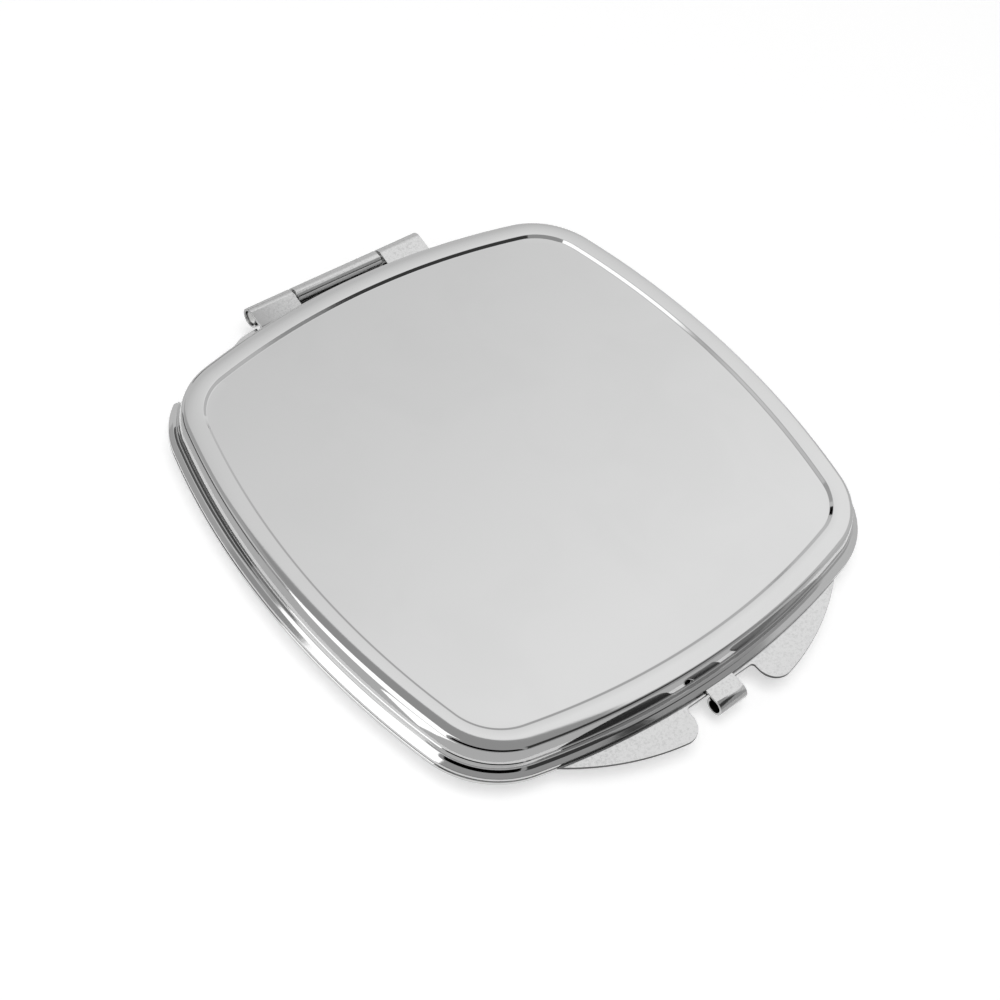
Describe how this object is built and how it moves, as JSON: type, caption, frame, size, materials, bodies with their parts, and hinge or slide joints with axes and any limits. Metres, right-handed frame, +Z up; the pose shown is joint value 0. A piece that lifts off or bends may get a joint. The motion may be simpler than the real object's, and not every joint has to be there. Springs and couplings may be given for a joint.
{
  "type": "compact mirror",
  "caption": "Pocket compact mirror: square polished case with bowed sides, hemmed edge, domed rim and recessed lid field, pin hinge behind, thumb ears and rolled clasp in front.",
  "frame": {"origin": "bottom centre of the closed case's bounding box, on the crest of the base's rim", "axes": "+Z up through the lid, +Y towards the hinge, -Y towards the clasp, +X to the right with the clasp in front"},
  "size_m": [0.062, 0.0679, 0.0067],
  "materials": {
    "polished_chrome": "polished chrome plate on pressed sheet",
    "satin_plate": "satin plated sheet with a fine mottled grain",
    "pin_wire": "bright drawn wire",
    "mirror_glass": "silvered glass",
    "mirror_pad": "white foam tape"
  },
  "bodies": {
    "base": {"base_shell": "polished_chrome", "base_frame": "satin_plate", "base_mirror": "mirror_glass", "base_mirror_pad": "mirror_pad", "hinge_pin": "pin_wire"},
    "lid": {"lid_shell": "polished_chrome", "lid_frame": "satin_plate", "lid_mirror": "mirror_glass", "lid_mirror_pad": "mirror_pad"}
  },
  "joints": [
    {"name": "lid_hinge", "type": "hinge", "parent": "base", "child": "lid", "pos_m": [0, 0.0328, 0.00382], "axis": [-1, 0, 0], "range_deg": [0, 180]}
  ]
}
